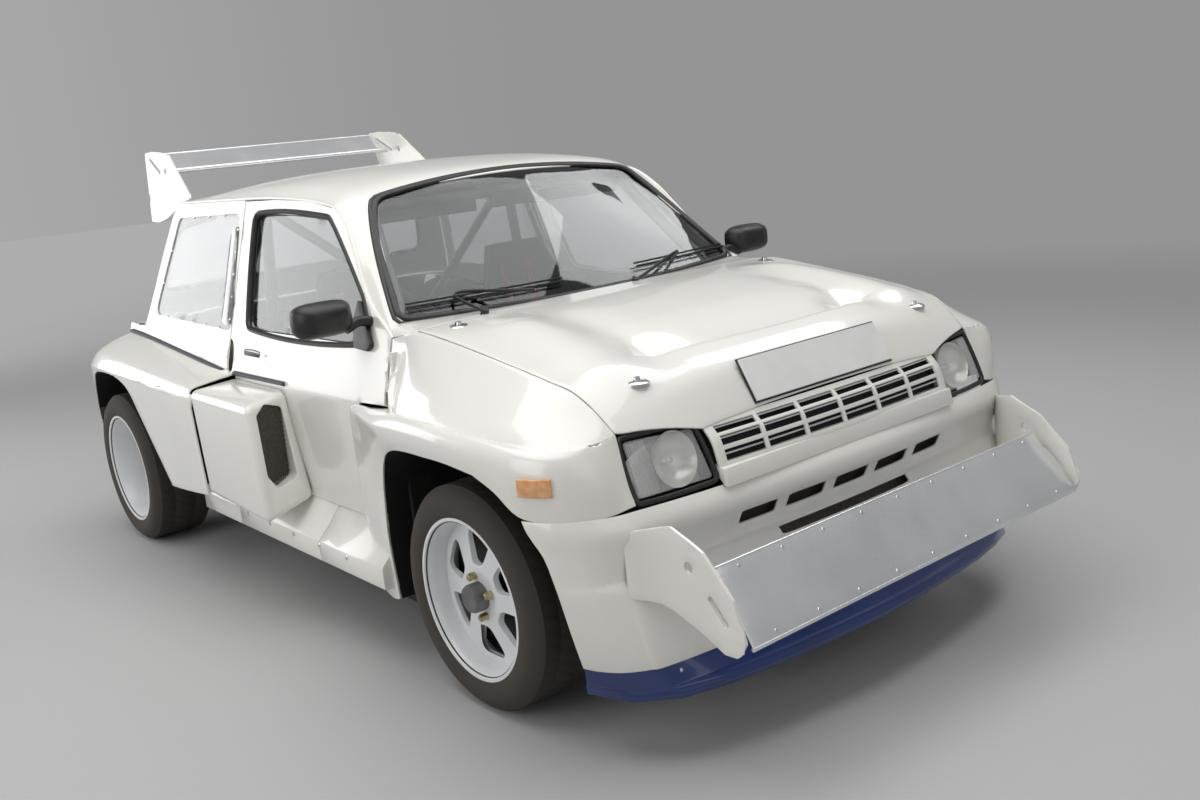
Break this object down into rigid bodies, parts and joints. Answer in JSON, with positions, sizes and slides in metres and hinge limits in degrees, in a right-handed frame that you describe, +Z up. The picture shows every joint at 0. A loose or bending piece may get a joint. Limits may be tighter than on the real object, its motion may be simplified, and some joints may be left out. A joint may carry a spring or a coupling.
{
  "type": "rally car",
  "caption": "Wide-arched rally hatchback with side air boxes, front and rear wings, opening doors, lift-off bonnet, hinged tailgate and steered wheels.",
  "frame": {"origin": "on the ground, midway between the foremost and rearmost points, on the centre line", "axes": "+X forward, +Y the car's left, +Z up"},
  "size_m": [3.6, 1.88, 1.5459],
  "materials": {
    "body_white": "gloss ivory-white paint on moulded panels",
    "underbody_black": "satin black underbody paint",
    "window_glass": "clear screen glass with a dark rubber seal",
    "perspex": "clear bolted plastic pane",
    "black_trim": "satin black moulding",
    "brushed_aluminium": "brushed bare sheet",
    "splitter_blue": "dark blue gloss moulding",
    "lamp_clear": "fluted clear lens over a bright reflector",
    "lamp_red": "ribbed red lens",
    "seat_cloth": "black woven seat cloth",
    "dash_black": "flocked black dashboard",
    "cage_cream": "cream painted tube",
    "engine_alloy": "dull cast metal",
    "chassis_black": "black painted suspension metal",
    "wheel_white": "gloss white cast wheel",
    "tyre_rubber": "brown-black worn rubber",
    "rim_leather": "dark stitched leather"
  },
  "bodies": {
    "chassis": {"floor_tub": "underbody_black", "cabin_shell": "body_white", "front_wings": "body_white", "sills": "body_white", "rear_quarters": "body_white", "rear_panel": "body_white", "front_bumper": "body_white", "grille": "body_white", "headlamps": "lamp_clear", "tail_lamps": "lamp_red", "front_spoiler": "brushed_aluminium", "spoiler_endplates": "body_white", "splitter": "splitter_blue", "windscreen": "window_glass", "quarter_windows": "perspex", "wipers": "black_trim", "bucket_seats": "seat_cloth", "dashboard": "dash_black", "roll_cage": "cage_cream", "engine": "engine_alloy", "front_suspension": "chassis_black", "rear_suspension": "chassis_black"},
    "bonnet": {"bonnet": "body_white"},
    "tailgate": {"tailgate": "body_white", "tailgate_window": "perspex", "rear_wing": "brushed_aluminium", "wing_endplates": "body_white"},
    "door_left": {"door_left": "body_white", "door_glass_left": "window_glass", "air_box_left": "body_white", "door_mirror_left": "black_trim"},
    "door_right": {"door_right": "body_white", "door_glass_right": "window_glass", "air_box_right": "body_white", "door_mirror_right": "black_trim"},
    "knuckle_left": {"knuckle_left": "chassis_black"},
    "front_wheel_left": {"wheel_front_left": "wheel_white", "tyre_front_left": "tyre_rubber"},
    "rear_wheel_left": {"wheel_rear_left": "wheel_white", "tyre_rear_left": "tyre_rubber"},
    "knuckle_right": {"knuckle_right": "chassis_black"},
    "front_wheel_right": {"wheel_front_right": "wheel_white", "tyre_front_right": "tyre_rubber"},
    "rear_wheel_right": {"wheel_rear_right": "wheel_white", "tyre_rear_right": "tyre_rubber"},
    "steering": {"steering_wheel": "rim_leather"}
  },
  "joints": [
    {"name": "bonnet_lift", "type": "slide", "parent": "chassis", "child": "bonnet", "axis": [0, 0, 1], "range_m": [0, 0.45]},
    {"name": "tailgate_hinge", "type": "hinge", "parent": "chassis", "child": "tailgate", "pos_m": [-1.128, 0, 1.354], "axis": [0, 1, 0], "range_deg": [0, 60]},
    {"name": "door_left_hinge", "type": "hinge", "parent": "chassis", "child": "door_left", "pos_m": [0.572, 0.745, 0.8], "axis": [0, 0, -1], "range_deg": [0, 65]},
    {"name": "door_right_hinge", "type": "hinge", "parent": "chassis", "child": "door_right", "pos_m": [0.572, -0.745, 0.8], "axis": [0, 0, 1], "range_deg": [0, 65]},
    {"name": "steer_left", "type": "hinge", "parent": "chassis", "child": "knuckle_left", "pos_m": [0.958, 0.64, 0.303], "axis": [0, 0, 1], "range_deg": [-28, 28]},
    {"name": "spin_front_left", "type": "hinge", "parent": "knuckle_left", "child": "front_wheel_left", "pos_m": [0.958, 0.75, 0.303], "axis": [0, 1, 0], "continuous": true},
    {"name": "spin_rear_left", "type": "hinge", "parent": "chassis", "child": "rear_wheel_left", "pos_m": [-1.433, 0.751, 0.303], "axis": [0, 1, 0], "continuous": true},
    {"name": "steer_right", "type": "hinge", "parent": "chassis", "child": "knuckle_right", "pos_m": [0.958, -0.64, 0.303], "axis": [0, 0, 1], "range_deg": [-29, 29]},
    {"name": "spin_front_right", "type": "hinge", "parent": "knuckle_right", "child": "front_wheel_right", "pos_m": [0.958, -0.75, 0.303], "axis": [0, 1, 0], "continuous": true},
    {"name": "spin_rear_right", "type": "hinge", "parent": "chassis", "child": "rear_wheel_right", "pos_m": [-1.433, -0.751, 0.303], "axis": [0, 1, 0], "continuous": true},
    {"name": "steering_column", "type": "hinge", "parent": "chassis", "child": "steering", "pos_m": [0.258, -0.345, 0.85], "axis": [0.8204, 0, -0.5718], "range_deg": [-350, 350]}
  ],
  "couplings": [
    {"joint": "steer_right", "follows": "steer_left", "ratio": 1},
    {"joint": "steering_column", "follows": "steer_left", "ratio": -12}
  ]
}
